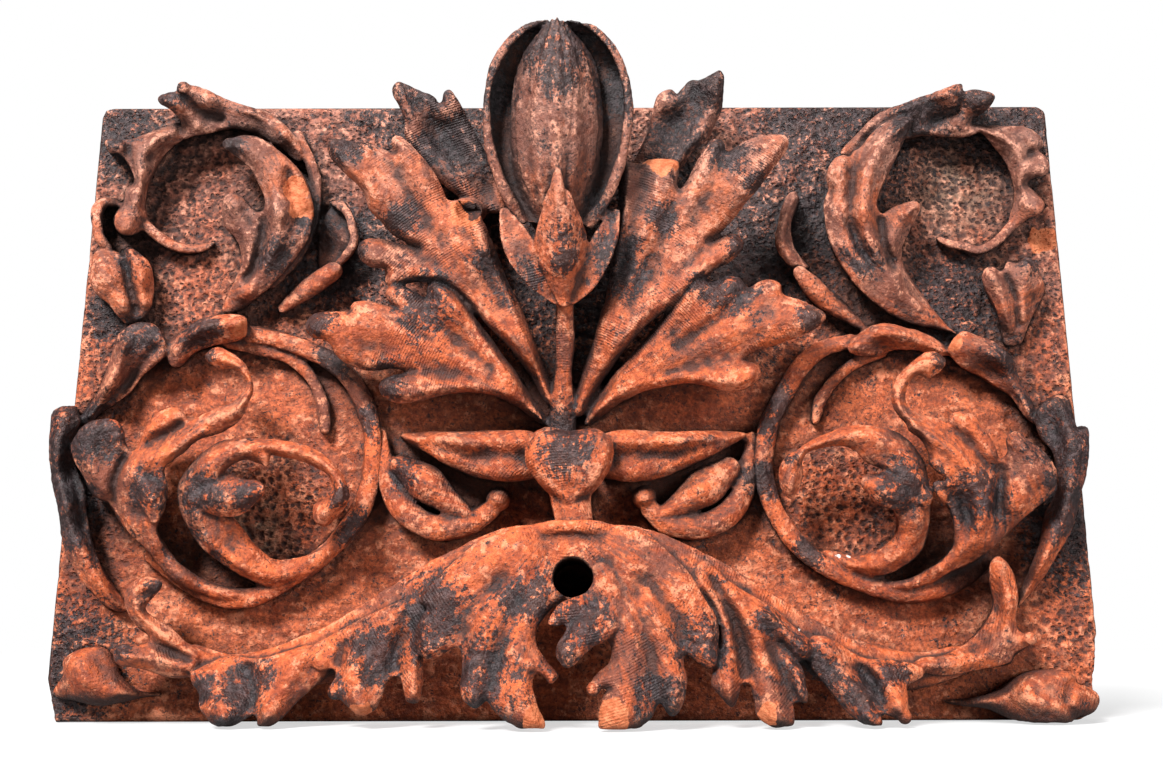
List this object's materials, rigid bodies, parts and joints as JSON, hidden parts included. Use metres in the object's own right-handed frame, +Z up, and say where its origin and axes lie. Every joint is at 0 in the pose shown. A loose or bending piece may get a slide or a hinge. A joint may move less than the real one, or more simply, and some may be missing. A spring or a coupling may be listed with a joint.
{
  "type": "frieze panel",
  "caption": "Squared fired-clay frieze block whose front carries deep scrolling acanthus, a palmette with a tall bud and leaves that hang over a round hole.",
  "frame": {"origin": "middle of the block's flat underside", "axes": "+X across the panel to the viewer's right, +Y from the carved front to the flat back, +Z up"},
  "size_m": [0.66, 0.2228, 0.414],
  "materials": {
    "terracotta": "matte fired clay, dusty and sooted"
  },
  "bodies": {
    "root": {"frieze_panel": "terracotta"}
  },
  "joints": []
}
